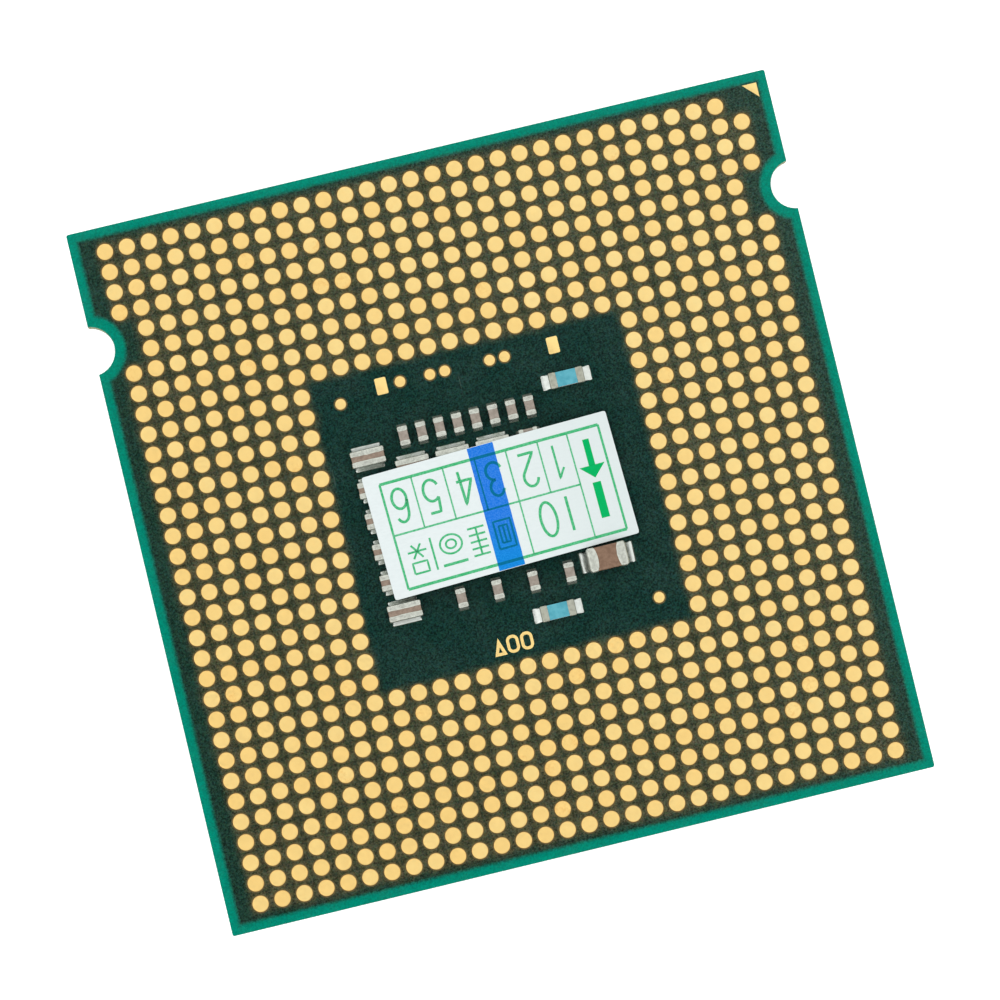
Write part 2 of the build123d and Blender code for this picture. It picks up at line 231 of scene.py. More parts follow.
def whole_faced_copy(node, flat_angle, rim_ease=0.0):
    """A smooth copy of a node's mesh, with triangles joined into flat faces and its top rim eased."""
    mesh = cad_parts[node].data.copy()
    work = bmesh.new()
    work.from_mesh(mesh)
    bmesh.ops.remove_doubles(work, verts=work.verts, dist=WELD * MM)
    bmesh.ops.dissolve_limit(
        work, angle_limit=math.radians(flat_angle), verts=work.verts, edges=work.edges
    )
    if rim_ease:
        top = max(v.co.z for v in work.verts)
        rim = [e for e in work.edges if all(abs(v.co.z - top) < 1e-7 for v in e.verts)]
        bmesh.ops.bevel(work, geom=rim, offset=rim_ease * MM, segments=2, affect="EDGES", profile=0.6)
    work.to_mesh(mesh)
    work.free()
    mesh.polygons.foreach_set("use_smooth", [True] * len(mesh.polygons))
    return mesh


def dress(material, *nodes):
    """CAD nodes that keep their shape, in a better material."""
    for node in nodes:
        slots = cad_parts[node].data.materials
        slots.clear()
        slots.append(material)


def store(piece, name, values):
    """A value for each point of a piece, for its material to read."""
    layer = piece.data.attributes.new(name, "FLOAT", "POINT")
    layer.data.foreach_set("value", values)


def node_box_mm(node):
    low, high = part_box(node)
    return low / MM, high / MM


def separate_solids(node):
    """The box, in millimetres, of each separate solid in a node."""
    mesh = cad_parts[node].data
    places = {}
    ids = []
    for vertex in mesh.vertices:
        key = tuple(round(c / (0.002 * MM)) for c in vertex.co)
        ids.append(places.setdefault(key, len(places)))
    parent = list(range(len(places)))

    def root_of(i):
        while parent[i] != i:
            parent[i] = parent[parent[i]]
            i = parent[i]
        return i

    for face in mesh.polygons:
        corners = [ids[i] for i in face.vertices]
        for corner in corners[1:]:
            parent[root_of(corner)] = root_of(corners[0])
    boxes = {}
    for vertex, i in zip(mesh.vertices, ids):
        point = vertex.co / MM
        low, high = boxes.setdefault(root_of(i), (point.copy(), point.copy()))
        for axis in range(3):
            low[axis] = min(low[axis], point[axis])
            high[axis] = max(high[axis], point[axis])
    return sorted(boxes.values(), key=lambda box: (round(box[0].y, 2), round(box[0].x, 2)))


# ==== Shapes, each as (points, faces) ====
def join_shapes(shapes):
    """Several shapes as one."""
    verts, faces = [], []
    for shape_verts, shape_faces in shapes:
        start = len(verts)
        verts.extend(shape_verts)
        faces.extend(tuple(start + i for i in face) for face in shape_faces)
    return verts, faces


def copies(shape, centres):
    """The same shape at each of several places."""
    verts, faces = shape
    return join_shapes(([(x + cx, y + cy, z) for x, y, z in verts], faces) for cx, cy in centres)


def band(inner, outer, count):
    """The faces between two rings of points, each ring given by the number of its first point."""
    turn = [(k, (k + 1) % count) for k in range(count)]
    return [(inner + k, outer + k, outer + after, inner + after) for k, after in turn]


def bands(rings, count):
    """The faces between each ring of points and the next."""
    return [face for ring in range(rings - 1) for face in band(ring * count, (ring + 1) * count, count)]


def lofted(sections):
    """A closed skin over loops of equal count, closed at both ends."""
    count = len(sections[0])
    verts = [point for section in sections for point in section]
    last = len(verts) - count
    ends = [tuple(reversed(range(count))), tuple(range(last, last + count))]
    return verts, bands(len(sections), count) + ends


def turned(profile):
    """The rings of a surface of revolution, from (radius, height) pairs."""
    turns = [2 * math.pi * k / ROUND_SEGMENTS for k in range(ROUND_SEGMENTS)]
    return [(r * math.cos(turn), r * math.sin(turn), height) for r, height in profile for turn in turns]


def sheet(grid):
    """An open skin over a grid of points, given as a list of rows."""
    columns = len(grid[0])
    starts = [i * columns + k for i in range(len(grid) - 1) for k in range(columns - 1)]
    faces = [(a, a + 1, a + columns + 1, a + columns) for a in starts]
    return [point for row in grid for point in row], faces


def closed_sheet(top, bottom):
    """A closed skin over two grids of points, one above the other."""
    rows, columns = len(top), len(top[0])
    floor = rows * columns
    verts, faces = sheet(top)
    faces += [tuple(i + floor for i in reversed(face)) for face in faces]
    rim = list(range(columns))
    rim += [i * columns + columns - 1 for i in range(1, rows)]
    rim += [(rows - 1) * columns + k for k in range(columns - 2, -1, -1)]
    rim += [i * columns for i in range(rows - 2, 0, -1)]
    faces += [(a, b, b + floor, a + floor) for a, b in zip(rim, rim[1:] + rim[:1])]
    return verts + [point for row in bottom for point in row], faces


def inked(grid):
    """A thin closed layer of ink under a grid of points."""
    return closed_sheet(grid, [[(x, y, z - INK_DEPTH) for x, y, z in row] for row in grid])


# ==== Materials ====
class Nodes:
    """A node tree, with short calls for the nodes that are used often."""

    def __init__(self, tree):
        self.tree = tree

    def new(self, kind, output, inputs=None, **settings):
        """One output of a new node, with the inputs linked or set."""
        node = self.tree.nodes.new(kind)
        for key, value in settings.items():
            setattr(node, key, value)
        for socket, value in (inputs or {}).items():
            self.put(node.inputs[socket], value)
        return node.outputs[output]

    def put(self, socket, value):
        """Links or sets a socket. Three numbers are a display colour, four a linear one."""
        if isinstance(value, bpy.types.NodeSocket):
            self.tree.links.new(value, socket)
        elif isinstance(value, tuple) and len(value) == 3:
            socket.default_value = linear(*value)
        else:
            socket.default_value = value

    def maths(self, operation, *values):
        return self.new("ShaderNodeMath", 0, dict(enumerate(values)), operation=operation)

    def times(self, a, b):
        return self.maths("MULTIPLY", a, b)

    def minus(self, a, b):
        return self.maths("SUBTRACT", a, b)

    def scaled(self, value, by, then=0.0):
        return self.maths("MULTIPLY_ADD", value, by, then)

    def step(self, value, low=0.3, high=0.7, to_low=0.0, to_high=1.0):
        """A smooth change from to_low to to_high as value goes from low to high."""
        limits = {"From Min": low, "From Max": high, "To Min": to_low, "To Max": to_high}
        inputs = {"Value": value, **limits}
        return self.new("ShaderNodeMapRange", "Result", inputs, interpolation_type="SMOOTHSTEP")

    def beyond(self, value, edge, soft):
        """0 below an edge and 1 above it."""
        return self.step(value, edge - soft, edge + soft)

    def within(self, value, edge, soft):
        """1 below an edge and 0 above it."""
        return self.step(value, edge - soft, edge + soft, 1.0, 0.0)


class Surface(Nodes):
    """A material's node tree."""

    def __init__(self, name, color, roughness, metallic=0.0, specular=0.5):
        self.material = bpy.data.materials.new(name)
        self.material.use_nodes = True
        super().__init__(self.material.node_tree)
        self.shader = self.tree.nodes["Principled BSDF"]
        self.put(self.shader.inputs["Base Color"], color)
        self.put(self.shader.inputs["Roughness"], roughness)
        self.put(self.shader.inputs["Metallic"], metallic)
        self.put(self.shader.inputs["Specular IOR Level"], specular)
        self.place = self.new("ShaderNodeTexCoord", "Object")

    def stretched(self, x, y, z):
        """Object coordinates in millimetres, scaled along each axis."""
        return self.new("ShaderNodeMapping", 0, {"Vector": self.place, "Scale": Vector((x, y, z)) / MM})

    def axis(self, name):
        """X, Y or Z in millimetres."""
        return self.new("ShaderNodeSeparateXYZ", name, {0: self.stretched(1, 1, 1)})

    def stored(self, name):
        """A value stored for each point of a piece."""
        return self.new("ShaderNodeAttribute", "Fac", attribute_name=name)

    def noise(self, scale, detail=3.0, roughness=0.5, stretch=(1, 1, 1)):
        """Noise with a number of features for each millimetre."""
        inputs = {"Vector": self.stretched(*stretch), "Scale": scale}
        inputs.update({"Detail": detail, "Roughness": roughness})
        return self.new("ShaderNodeTexNoise", "Fac", inputs)

    def cells(self, scale):
        """The distance to the nearest of many scattered points."""
        inputs = {"Vector": self.stretched(1, 1, 1), "Scale": scale}
        return self.new("ShaderNodeTexVoronoi", "Distance", inputs)

    def blend(self, share, a, b, how="MIX"):
        """A change of colour from a to b."""
        return self.new("ShaderNodeMix", 2, {0: share, 6: a, 7: b}, data_type="RGBA", blend_type=how)

    def tones(self, pattern, a, b, low=0.3, high=0.7):
        """One colour where a pattern is low, another where it is high."""
        return self.blend(self.step(pattern, low, high), a, b)

    def bump(self, height, depth, strength, onto=None):
        """A surface raised by up to a depth in millimetres."""
        inputs = {"Strength": strength, "Distance": depth * MM, "Height": height}
        if onto is not None:
            inputs["Normal"] = onto
        return self.new("ShaderNodeBump", 0, inputs)

    def finished(self, color, normal, roughness=None):
        """The material, once its colour, its surface and any change of roughness are linked."""
        self.put(self.shader.inputs["Base Color"], color)
        self.put(self.shader.inputs["Normal"], normal)
        if roughness is not None:
            self.put(self.shader.inputs["Roughness"], roughness)
        return self.material


def painted_light_share(n):
    """A smooth rise from 0 at the corner with the least X and Y to 1 at the far corner, which carries
    painted light across the mask and the gold.
    """
    return n.step(n.scaled(n.axis("Y"), 0.012, n.scaled(n.axis("X"), 0.020, 0.5)), 0.0, 1.0)


def from_land(n, x, y):
    """The distance, in millimetres, to the middle of the nearest place in the grid of lands."""
    across = n.minus(n.maths("FRACT", n.maths("DIVIDE", x, LAND_PITCH_X)), 0.5)
    along = n.minus(n.maths("FRACT", n.scaled(y, 1 / LAND_PITCH_Y, 0.5)), 0.5)
    across = n.times(across, LAND_PITCH_X)
    along = n.times(along, LAND_PITCH_Y)
    return n.maths("SQRT", n.scaled(across, across, n.times(along, along)))


def in_from_edge(n, across, along, from_notch_line):
    """The distance, in millimetres, in from the package's outline, notches and all."""
    from_edge = n.minus(HALF_SIDE, n.maths("MAXIMUM", across, along))
    from_notch_middle = n.minus(across, NOTCH_X)
    square = n.maths(
        "ADD", n.times(from_notch_middle, from_notch_middle), n.times(from_notch_line, from_notch_line)
    )
    from_notch = n.minus(n.maths("SQRT", square), NOTCH_RADIUS + NOTCH_RIM_WIDTH - RIM_WIDTH)
    return n.maths("MINIMUM", from_edge, from_notch)


def mask_grain(n, rim):
    """The mask's fine grain as a tint around white, calmer on the bright rim."""
    grain = n.step(n.noise(11.0, 2.0, 0.8), 0.30, 0.70, 0.26, 1.74)
    red = n.step(n.noise(8.0, 2.0, 0.7), 0.3, 0.7, 0.74, 1.26)
    blue = n.step(n.noise(9.5, 2.0, 0.7), 0.3, 0.7, 0.80, 1.20)
    calm = n.scaled(rim, -0.70, 1.0)
    tints = [n.scaled(n.minus(n.times(grain, tint), 1.0), calm, 1.0) for tint in (red, 1.0, blue)]
    return n.new("ShaderNodeCombineColor", 0, dict(enumerate(tints))), calm


def mask_material():
    """Green solder mask: dark over the copper plane, bright at the bare rim, browner between the lands."""
    n = Surface("solder_mask", (20, 50, 45), 0.2, specular=0.10)
    x, y, z = n.axis("X"), n.axis("Y"), n.axis("Z")
    across = n.maths("ABSOLUTE", x)
    along = n.maths("ABSOLUTE", y)
    from_notch_line = n.minus(y, NOTCH_Y)
    inward = in_from_edge(n, across, along, from_notch_line)
    wobble = n.times(n.minus(n.noise(2.4), 0.5), 0.06)
    rim = n.step(n.maths("ADD", inward, wobble), RIM_WIDTH - 0.13, RIM_WIDTH + 0.15, 1.0, 0.0)

    ragged = n.times(n.minus(n.noise(0.9, 3.0), 0.5), 0.5)
    ragged_across = n.maths("ADD", across, ragged)
    ragged_along = n.maths("ADD", along, ragged)
    in_field = n.times(
        n.within(ragged_across, FIELD_HALF_X, 0.30), n.within(ragged_along, FIELD_HALF_Y, 0.30)
    )
    in_bay = n.times(n.within(ragged_across, BAY_HALF_X, 0.35), n.within(ragged_along, BAY_HALF_Y, 0.35))
    beside_notch = n.times(
        n.beyond(across, BARE_NOTCH_X, 0.3),
        n.within(n.maths("ABSOLUTE", from_notch_line), BARE_NOTCH_HALF, 0.3),
    )
    at_corner = n.times(n.beyond(x, BARE_CORNER_X, 0.3), n.beyond(y, BARE_CORNER_Y, 0.3))
    bare = n.maths("MAXIMUM", in_bay, n.maths("MAXIMUM", beside_notch, at_corner))
    land_side = n.step(z, LAND_PLANE - 0.8, LAND_PLANE - 0.4)
    browner = n.times(n.times(in_field, land_side), n.minus(1.0, bare))

    # painted light: the margin and the field are painted lighter towards the far corner
    rise = painted_light_share(n)
    margin = n.blend(rise, (27, 54, 44), (40, 63, 53))
    bay = n.tones(n.noise(0.45, 3.0), (17, 48, 42), (25, 52, 46), 0.35, 0.65)
    inner = n.blend(in_bay, margin, bay)
    open_field = n.tones(n.noise(1.2), (55, 60, 42), (64, 69, 51))
    beside_land = n.tones(n.noise(1.2), (70, 70, 46), (79, 78, 54))
    away = n.scaled(ragged, 0.6, from_land(n, x, y))
    field = n.blend(n.step(away, 0.44, 0.78), beside_land, open_field)
    # painted light laid over the field between the lands
    field = n.blend(1.0, field, n.blend(rise, *FIELD_PAINTED_LIGHT), "MULTIPLY")
    base = n.blend(browner, inner, field)
    outermost = n.tones(inward, (0, 131, 110), (0, 120, 101), 0.10, RIM_WIDTH)
    outermost = n.blend(n.step(n.noise(0.35), 0.3, 0.7, 0.0, 0.6), outermost, (0, 123, 100))
    base = n.blend(rim, base, outermost)

    tint, calm = mask_grain(n, rim)
    base = n.blend(1.0, base, tint, "MULTIPLY")
    smudge = n.times(n.step(n.noise(0.55, 5.0, 0.7), 0.60, 0.80, 0.0, 0.08), calm)
    base = n.blend(smudge, base, (92, 116, 108))
    scuff = n.step(n.noise(1.1, 3.0, 0.6, (3.4, 0.22, 1.0)), 0.70, 0.78, 0.0, 0.22)
    base = n.blend(n.times(scuff, n.step(n.noise(0.25), 0.50, 0.62)), base, (120, 140, 132))
    gloss = n.step(n.noise(0.7, 5.0, 0.65), 0.3, 0.75, 0.14, 0.34)
    orange_peel = n.bump(n.noise(3.0, 3.0), 0.005, 0.5)
    return n.finished(base, n.bump(n.noise(26.0, 2.0), 0.0015, 0.6, orange_peel), gloss)


def lip_material():
    """Mask that climbs over a land's edge, where the metal under it shows through brown."""
    n = Surface("mask_lip", (88, 72, 44), 0.5, specular=0.10)
    brown = n.tones(n.noise(6.0, 3.0), (86, 70, 40), (118, 94, 56))
    mask = n.tones(n.noise(11.0, 2.0, 0.8), (60, 62, 40), (92, 94, 66))
    base = n.tones(n.stored("outward"), brown, mask, 0.1, 0.95)
    return n.finished(base, n.bump(n.noise(24.0, 2.0), 0.003, 0.6))


def gold_material():
    """Matte electroplated gold over nickel, with a shade of its own for each land, painted shade at each
    land's rolled rim and painted light drifting across the package.
    """
    n = Surface("land_gold", (252, 217, 143), 0.44, metallic=1.0)
    base = n.blend(n.stored("shade"), (255, 222, 147), (255, 229, 160))
    cloud = n.step(n.noise(2.6, 4.0, 0.6), 0.35, 0.75, 0.0, 0.26)
    base = n.blend(cloud, base, (253, 216, 139))
    # painted shade: the gold darkens towards each land's rolled rim, where the edge turns away from the
    # light
    base = n.blend(n.times(n.stored("edge"), 0.75), base, (226, 184, 112))
    blot = n.times(n.stored("stain"), n.step(n.noise(3.0, 4.0, 0.6), 0.44, 0.72))
    base = n.blend(n.times(blot, 0.34), base, (212, 162, 88))
    speck = n.step(n.cells(5.0), 0.015, 0.07, 0.22, 0.0)
    base = n.blend(speck, base, (206, 158, 88))
    # painted light: the gold is painted lighter and less orange towards the far corner
    base = n.blend(1.0, base, n.blend(painted_light_share(n), *GOLD_PAINTED_LIGHT), "MULTIPLY")
    rough = n.scaled(blot, 0.12, n.step(n.noise(9.0, 3.0), 0.3, 0.7, 0.40, 0.50))
    crystals = n.bump(n.noise(40.0, 2.0, 0.6), 0.0012, 0.6)
    return n.finished(base, n.bump(n.noise(6.0, 2.0), 0.003, 0.4, crystals), rough)


def ceramic_material(name, light, dark, roughness):
    """Sintered ceramic: fine grains, pores and a faint mottle."""
    n = Surface(name, light, roughness, specular=0.35)
    base = n.tones(n.noise(4.5, 4.0, 0.65), dark, light)
    pores = n.step(n.cells(22.0), 0.02, 0.16, 0.45, 0.0)
    base = n.blend(pores, base, dimmed(dark, 0.45))
    rough = n.step(n.noise(12.0, 3.0), 0.3, 0.7, roughness - 0.08, roughness + 0.10)
    return n.finished(base, n.bump(n.noise(28.0, 3.0, 0.6), 0.006, 0.8), rough)


def tin_material(name, light, dark, roughness):
    """Plated tin: satin metal with a pitted, slightly uneven skin."""
    n = Surface(name, light, roughness, metallic=1.0)
    base = n.tones(n.noise(5.0, 5.0, 0.65), dark, light, 0.32, 0.68)
    pits = n.step(n.cells(9.0), 0.02, 0.08, 0.22, 0.0)
    base = n.blend(pits, base, dimmed(dark, 0.6))
    rough = n.step(n.noise(10.0, 3.0), 0.3, 0.7, roughness - 0.08, roughness + 0.12)
    lumps = n.bump(n.noise(5.0, 2.0), 0.006, 0.5)
    return n.finished(base, n.bump(n.noise(30.0, 2.0), 0.0015, 0.6, lumps), rough)


def glaze_material():
    """Blue resistor glaze, smooth with a few bubbles."""
    n = Surface("resistor_glaze", (82, 165, 181), 0.30, specular=0.4)
    base = n.tones(n.noise(3.0, 3.0), (72, 155, 172), (94, 174, 189))
    bubbles = n.step(n.cells(11.0), 0.03, 0.12, 0.35, 0.0)
    base = n.blend(bubbles, base, (54, 132, 156))
    return n.finished(base, n.bump(n.noise(9.0, 3.0), 0.005, 0.5))


def laminate_material():
    """Glass-epoxy laminate: pressed glass layers show as fine lines on a sawn edge."""
    n = Surface("laminate", (126, 128, 78), 0.62, specular=0.35)
    layers = n.step(n.noise(1.0, 4.0, 0.6, (0.6, 0.6, 26.0)), 0.35, 0.65)
    fibres = n.step(n.noise(2.0, 3.0, 0.6, (7.0, 7.0, 2.0)), 0.40, 0.66)
    base = n.blend(layers, (92, 98, 56), (158, 154, 100))
    base = n.blend(n.times(fibres, 0.5), base, (186, 180, 132))
    return n.finished(base, n.bump(layers, 0.010, 0.7, n.bump(n.noise(14.0, 3.0), 0.008, 0.6)))


def nickel_material():
    """Satin nickel plate: a fine pressed grain, faint clouds, and a few hair marks from handling."""
    n = Surface("lid_nickel", (190, 188, 182), 0.36, metallic=1.0)
    base = n.tones(n.noise(0.16, 4.0, 0.6), (180, 178, 172), (196, 194, 188), 0.35, 0.70)
    rolled = n.noise(1.0, 5.0, 0.65, (1.2, 16.0, 16.0))
    base = n.blend(n.step(rolled, 0.35, 0.70, 0.0, 0.10), base, (160, 158, 152))
    speckle = n.step(n.noise(14.0, 3.0, 0.6), 0.60, 0.75, 0.0, 0.18)
    base = n.blend(speckle, base, (150, 147, 140))
    hairs = n.step(n.noise(1.0, 2.0, 0.5, (9.0, 0.30, 1.0)), 0.70, 0.76, 0.0, 0.30)
    hairs = n.times(hairs, n.step(n.noise(0.3), 0.50, 0.60))
    base = n.blend(hairs, base, (214, 212, 206))
    rough = n.step(n.noise(0.5, 5.0, 0.65), 0.3, 0.7, 0.30, 0.46)
    pressed = n.bump(rolled, 0.0020, 0.5, n.bump(n.noise(20.0, 3.0, 0.6), 0.0020, 0.6))
    return n.finished(base, n.bump(n.noise(0.35, 2.0), 0.02, 0.3, pressed), rough)


def plain_material(name, dark, light, roughness, metallic=0.0, specular=0.5,
                   drift=(4.0, 4.0), skin=(16.0, 3.0), depth=0.004, strength=0.6):
    """Two tones and a fine skin, for what shows little or only when the lid is off."""
    n = Surface(name, light, roughness, metallic, specular)
    base = n.tones(n.noise(*drift), dark, light)
    return n.finished(base, n.bump(n.noise(*skin), depth, strength))


def build_up_material():
    """Build-up resin: the plies near each face, greener than the core."""
    plies = (2.0, 4.0, 0.6, (1.0, 1.0, 8.0))
    return plain_material("build_up_resin", (38, 86, 66), (74, 124, 92), 0.55, 0.0, 0.35, plies, depth=0.006)


def sealant_material():
    """Black adhesive with a soft, lumpy skin."""
    lumps = {"drift": (2.0, 4.0), "skin": (3.0, 4.0), "depth": 0.05, "strength": 0.7}
    return plain_material("sealant", (24, 24, 24), (50, 50, 48), 0.6, 0.0, 0.3, **lumps)


def film_material():
    """Coated label film: white, slightly cool, with a fibrous tooth and painted shade towards its drooping
    end.
    """
    n = Surface("label_film", (222, 231, 231), 0.42, specular=0.30)
    # painted shade: the film is painted darker towards +X, the end that droops
    base = n.tones(n.axis("X"), (222, 231, 231), (214, 224, 223), -2.0, 6.5)
    fibres = n.step(n.noise(1.0, 4.0, 0.6, (3.0, 9.0, 3.0)), 0.35, 0.70, 0.0, 0.30)
    base = n.blend(fibres, base, (208, 218, 218))
    rough = n.step(n.noise(1.4, 3.0), 0.3, 0.7, 0.36, 0.52)
    waves = n.bump(n.noise(0.6, 2.0), 0.03, 0.4)
    return n.finished(base, n.bump(n.noise(16.0, 3.0, 0.6), 0.0025, 0.6, waves), rough)


def over_stripe(n):
    """1 where the marker stripe crosses, from the row's own axes turned to the film's."""
    centre = label_centre_mm()
    cos, sin = math.cos(LABEL_TURN), math.sin(LABEL_TURN)
    across = n.times(n.minus(n.axis("Y"), centre.y), sin - STRIPE_SKEW * cos)
    along = n.scaled(n.minus(n.axis("X"), centre.x), cos + STRIPE_SKEW * sin, across)
    return n.times(n.beyond(along, STRIPE_LEFT, 0.02), n.within(along, STRIPE_RIGHT, 0.02))


def ink_material(name, color, faded):
    """Printed green ink, uneven where the film's tooth shows, and darker under the stripe."""
    n = Surface(name, color, 0.5, specular=0.06)
    base = n.blend(n.step(n.noise(12.0, 3.0, 0.7), 0.38, 0.66, 0.0, 0.75), color, faded)
    dark = n.tones(n.noise(20.0, 2.0), (0, 112, 152), (0, 98, 134))
    base = n.blend(over_stripe(n), base, dark)
    return n.finished(base, n.bump(n.noise(24.0, 2.0), 0.002, 0.5))


def stripe_material():
    """Blue marker: mottled between two blues where it has soaked in unevenly."""
    n = Surface("marker_blue", (44, 122, 228), 0.40, specular=0.08)
    mottle = n.step(n.noise(17.0, 3.0, 0.7), 0.40, 0.62)
    upper = n.blend(mottle, (14, 110, 212), (58, 130, 222))
    lower = n.blend(mottle, (6, 122, 204), (24, 139, 220))
    base = n.tones(n.axis("Y"), lower, upper, -3.2, -0.6)
    return n.finished(base, n.bump(n.noise(20.0, 2.0), 0.002, 0.5))


# ==== Gold lands and pads ====
def land_shape(radius, top, base):
    """A plated land: a faintly crowned disc with a rolled edge. Its middle point comes last."""
    profile = [(share * radius, top + lift) for share, lift, _ in LAND_RINGS] + [(radius, base)]
    verts = turned(profile)
    last, middle = len(verts) - ROUND_SEGMENTS, len(verts)
    faces = bands(len(profile), ROUND_SEGMENTS)
    faces += [(middle, k, (k + 1) % ROUND_SEGMENTS) for k in range(ROUND_SEGMENTS)]
    faces.append(tuple(reversed(range(last, middle))))
    return verts + [(0.0, 0.0, profile[0][1])], faces


def lip_shape(radius, top):
    """The mask's raised lip around a land: a low closed ring."""
    profile = [(radius + outside, top + lift) for outside, lift, _ in LIP_RINGS]
    verts = turned(profile)
    closing = band(len(verts) - ROUND_SEGMENTS, 0, ROUND_SEGMENTS)
    return verts, bands(len(profile), ROUND_SEGMENTS) + closing


def on_rings(values):
    """A value for each ring, given to every point of it."""
    return [value for value in values for _ in range(ROUND_SEGMENTS)]


def give_shades(piece, points_each, count):
    """A shade for every land, and a stain for a few."""
    shades, stains = [], []
    for _ in range(count):
        shade = random.random()
        stain = 1.0 if random.random() < STAINED_SHARE else FAINT_STAIN * random.random()
        shades.extend([shade] * points_each)
        stains.extend([stain] * points_each)
    store(piece, "shade", shades)
    store(piece, "stain", stains)


def round_gold(node, lip_name, gold, lip):
    """A node's round lands or pads, with a smooth land and a mask lip for each of its solids."""
    base, top = (corner.z for corner in node_box_mm(node))
    boxes = separate_solids(node)
    radius = max(high.x - low.x for low, high in boxes) / 2
    centres = [((low.x + high.x) / 2, (low.y + high.y) / 2) for low, high in boxes]
    disc = land_shape(radius, top, base)
    lands = add_piece(node + "_plated", copies(disc, centres), gold, [node], sharp_angle=60)
    give_shades(lands, len(disc[0]), len(centres))
    # painted shade: how far out each point lies, for the gold to darken towards the rim
    edge = on_rings([share for _, _, share in LAND_RINGS] + [1.0]) + [0.0]
    store(lands, "edge", edge * len(centres))
    ring = lip_shape(radius, top)
    lips = add_piece(lip_name, copies(ring, centres), lip, sharp_angle=60)
    store(lips, "outward", on_rings([share for _, _, share in LIP_RINGS]) * len(centres))


def eased_gold(node, gold):
    """A flat gold mark in its own shape, with its top edges eased."""
    mesh = whole_faced_copy(node, 1, PAD_EASE)
    mesh.set_sharp_from_angle(angle=math.radians(50))
    piece = ride_with(node + "_eased", mesh, gold, [node])
    for name, value in (("shade", 0.6), ("stain", 0.15), ("edge", 0.0)):
        store(piece, name, [value] * len(mesh.vertices))


def make_lands():
    gold = gold_material()
    lip = lip_material()
    for side in ("north", "south", "west", "east"):
        round_gold("contact_lands_" + side, "land_lips_" + side, gold, lip)
    round_gold("test_pads_round", "pad_lips", gold, lip)
    for node in ("test_pads_rectangular", "pin_one_mark_land_side", "etched_symbols"):
        eased_gold(node, gold)
    dress(gold, "pin_one_mark_die_side")


# ==== Chip parts: bodies, end caps and solder ====
def rounded_loop(width, height, radius, along=6, corner=4):
    """A rounded rectangle's outline, with points along its sides as well as at its corners."""
    half_w, half_h = width / 2 - radius, height / 2 - radius
    centres = [(half_w, half_h, 0), (-half_w, half_h, 90), (-half_w, -half_h, 180), (half_w, -half_h, 270)]
    loop = []
    for i, (cx, cy, start) in enumerate(centres):
        for k in range(corner + 1):
            angle = math.radians(start + 90 * k / corner)
            loop.append((cx + radius * math.cos(angle), cy + radius * math.sin(angle)))
        nx, ny, next_start = centres[(i + 1) % 4]
        ax, ay = loop[-1]
        angle = math.radians(next_start)
        bx, by = nx + radius * math.cos(angle), ny + radius * math.sin(angle)
        loop.extend((ax + (bx - ax) * k / along, ay + (by - ay) * k / along) for k in range(1, along))
    return loop


